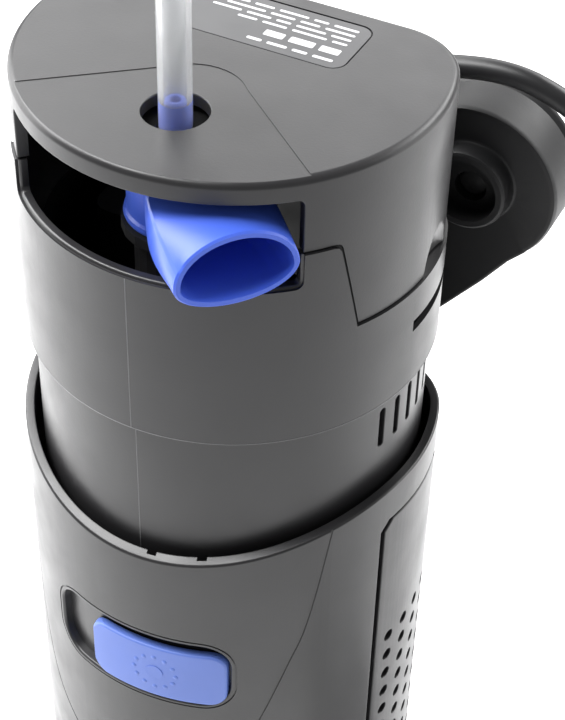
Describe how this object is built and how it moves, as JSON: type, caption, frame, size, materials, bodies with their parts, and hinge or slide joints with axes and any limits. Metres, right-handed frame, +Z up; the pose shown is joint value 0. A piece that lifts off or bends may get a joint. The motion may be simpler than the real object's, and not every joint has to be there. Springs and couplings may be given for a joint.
{
  "type": "internal power filter",
  "caption": "Internal power filter with a swivelling outlet, an air hose, a lamp slider, side cartridges and a rear hanger.",
  "frame": {"origin": "the point of the flat base that lies on the axis of the round front", "axes": "+Z up, -Y out of the front where the outlet points, +X to the right as seen from the front"},
  "size_m": [0.2318, 0.1297, 0.3599],
  "materials": {
    "housing": "dark grey moulded plastic, fine spark texture, satin",
    "rating_plate": "smooth satin plate with raised bars",
    "blue_plastic": "glossy blue moulded plastic",
    "pale_blue_plastic": "satin pale blue moulded plastic",
    "clear_hose": "clear soft hose",
    "quartz": "clear quartz tube",
    "lamp_glass": "lamp tube glass",
    "white_plastic": "white moulded plastic",
    "black_rubber": "matt black rubber",
    "hanger_plastic": "black moulded plastic, satin",
    "sponge": "open-cell filter foam",
    "resin": "cast potting resin",
    "magnet": "ferrite magnet",
    "ceramic": "polished white ceramic",
    "screw_steel": "stainless screws",
    "pin_brass": "plated brass pins",
    "lead": "black flexible sheath, slight sheen"
  },
  "bodies": {
    "canister": {"canister_body": "housing", "cable_coil": "lead", "cable_tail": "lead", "plug_body": "lead", "plug_pin_left": "pin_brass", "plug_pin_right": "pin_brass"},
    "head": {"head_shell": "housing", "riser_pipe": "housing", "riser_seal": "black_rubber", "air_hose": "clear_hose", "air_valve_body": "housing", "motor_block": "resin", "volute": "housing", "volute_cover": "housing", "ceramic_shaft": "ceramic", "upper_shaft_bush": "black_rubber", "lower_shaft_bush": "black_rubber", "lamp_base": "white_plastic", "uv_lamp_glass": "lamp_glass", "lamp_socket": "resin", "quartz_sleeve": "quartz", "sleeve_seal": "black_rubber", "lamp_carrier": "housing", "carrier_screw_1": "screw_steel", "carrier_screw_2": "screw_steel", "carrier_screw_3": "screw_steel", "carrier_screw_4": "screw_steel", "cable_gland": "housing", "strain_relief": "lead", "power_cable": "lead"},
    "cover": {"top_cover": "housing", "rating_plate": "rating_plate"},
    "outlet": {"outlet_nozzle": "blue_plastic", "air_spigot": "blue_plastic"},
    "rotor": {"impeller": "white_plastic", "rotor_magnet": "magnet"},
    "valve_knob": {"air_valve_knob": "blue_plastic"},
    "slider": {"uv_slider": "pale_blue_plastic", "slider_screw": "screw_steel"},
    "left_cartridge": {"left_cartridge_door": "housing", "left_cartridge_frame": "housing", "left_sponge": "sponge"},
    "right_cartridge": {"right_cartridge_door": "housing", "right_cartridge_frame": "housing", "right_sponge": "sponge"},
    "hanger": {"hanger": "hanger_plastic", "upper_left_suction_cup": "black_rubber", "upper_right_suction_cup": "black_rubber", "lower_left_suction_cup": "black_rubber", "lower_right_suction_cup": "black_rubber"}
  },
  "joints": [
    {"name": "head_lift", "type": "slide", "parent": "canister", "child": "head", "axis": [0, 0, 1], "range_m": [0, 0.06]},
    {"name": "cover_lift", "type": "slide", "parent": "head", "child": "cover", "axis": [0, 0, 1], "range_m": [0, 0.03]},
    {"name": "outlet_swivel", "type": "hinge", "parent": "head", "child": "outlet", "pos_m": [0, -0.0213, 0.28], "axis": [0, 0, 1], "range_deg": [-101, 0]},
    {"name": "impeller_spin", "type": "hinge", "parent": "head", "child": "rotor", "pos_m": [0, 0.001, 0.22], "axis": [0, 0, 1], "continuous": true},
    {"name": "valve_turn", "type": "hinge", "parent": "head", "child": "valve_knob", "pos_m": [0, -0.0213, 0.355], "axis": [0, 0, 1], "range_deg": [0, 180]},
    {"name": "slider_travel", "type": "hinge", "parent": "canister", "child": "slider", "pos_m": [0, 0, 0.176], "axis": [0, 0, 1], "range_deg": [-12.8, 0]},
    {"name": "left_cartridge_pull", "type": "slide", "parent": "canister", "child": "left_cartridge", "axis": [-1, 0, 0], "range_m": [0, 0.025]},
    {"name": "right_cartridge_pull", "type": "slide", "parent": "canister", "child": "right_cartridge", "axis": [1, 0, 0], "range_m": [0, 0.025]},
    {"name": "hanger_slide", "type": "slide", "parent": "canister", "child": "hanger", "axis": [0, 0, 1], "range_m": [-0.02, 0]}
  ]
}
